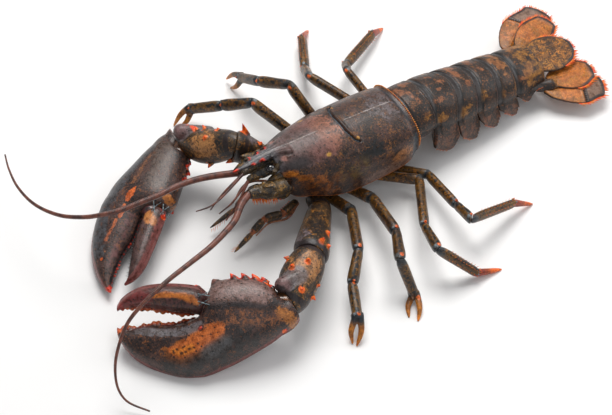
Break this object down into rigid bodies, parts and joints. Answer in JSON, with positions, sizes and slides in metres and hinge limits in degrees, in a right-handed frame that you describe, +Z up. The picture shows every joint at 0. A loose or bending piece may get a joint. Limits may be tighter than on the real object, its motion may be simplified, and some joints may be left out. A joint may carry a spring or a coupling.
{
  "type": "american lobster model",
  "caption": "Life-size still American lobster with a crusher and a cutter claw, walking legs, long feelers, segmented abdomen and spread tail fan.",
  "frame": {"origin": "middle of the bounding box's footprint, on the floor that the feet and claws rest on", "axes": "+Y towards the tail fan, +X towards the animal's own left side with the crusher claw, +Z up"},
  "size_m": [0.248, 0.3991, 0.0588],
  "materials": {
    "dark_shell": "smooth dark purplish brown shell with a soft sheen",
    "underside": "thin tan and brown skin of the underside",
    "eye_black": "glossy black cornea",
    "leg_shell": "olive brown shell mottled with black, red-orange bumps at the joints",
    "arm_shell": "brown and black mottled shell with orange-red spines",
    "claw_shell": "dark brown shell with orange patches and red tips",
    "tail_shell": "dark brown shell with orange-brown patches and grey hinge bands",
    "fan_shell": "golden brown plates with dark rims and a red-orange fringe",
    "feeler": "ringed reddish brown feeler"
  },
  "bodies": {
    "root": {"antenna_left_base": "arm_shell", "antenna_left_flagellum_1": "feeler", "antenna_left_flagellum_2": "feeler", "antenna_right_base": "arm_shell", "antenna_right_flagellum_1": "feeler", "antenna_right_flagellum_2": "feeler", "antennule_left": "feeler", "antennule_right": "feeler", "arm_left_carpus": "arm_shell", "arm_left_ischium": "arm_shell", "arm_left_merus": "arm_shell", "arm_right_carpus": "arm_shell", "arm_right_ischium": "arm_shell", "arm_right_merus": "arm_shell", "carapace": "dark_shell", "crusher_palm": "claw_shell", "crusher_thumb": "claw_shell", "cutter_palm": "claw_shell", "cutter_thumb": "claw_shell", "eye_left": "eye_black", "eye_right": "eye_black", "leg2_left_foot": "leg_shell", "leg2_left_knee": "leg_shell", "leg2_left_thigh": "leg_shell", "leg2_right_foot": "leg_shell", "leg2_right_knee": "leg_shell", "leg2_right_thigh": "leg_shell", "leg3_left_foot": "leg_shell", "leg3_left_knee": "leg_shell", "leg3_left_thigh": "leg_shell", "leg3_right_foot": "leg_shell", "leg3_right_knee": "leg_shell", "leg3_right_thigh": "leg_shell", "leg4_left_foot": "leg_shell", "leg4_left_knee": "leg_shell", "leg4_left_thigh": "leg_shell", "leg4_right_foot": "leg_shell", "leg4_right_knee": "leg_shell", "leg4_right_thigh": "leg_shell", "leg5_left_foot": "leg_shell", "leg5_left_knee": "leg_shell", "leg5_left_thigh": "leg_shell", "leg5_right_foot": "leg_shell", "leg5_right_knee": "leg_shell", "leg5_right_thigh": "leg_shell", "maxilliped_left": "arm_shell", "maxilliped_right": "arm_shell", "tail_segment_1": "tail_shell", "tail_segment_2": "tail_shell", "tail_segment_3": "tail_shell", "tail_segment_4": "tail_shell", "tail_segment_5": "tail_shell", "tail_segment_6": "tail_shell", "telson": "fan_shell", "thorax": "underside", "uropod_inner_left": "fan_shell", "uropod_inner_right": "fan_shell", "uropod_outer_left": "fan_shell", "uropod_outer_right": "fan_shell"}
  },
  "joints": []
}
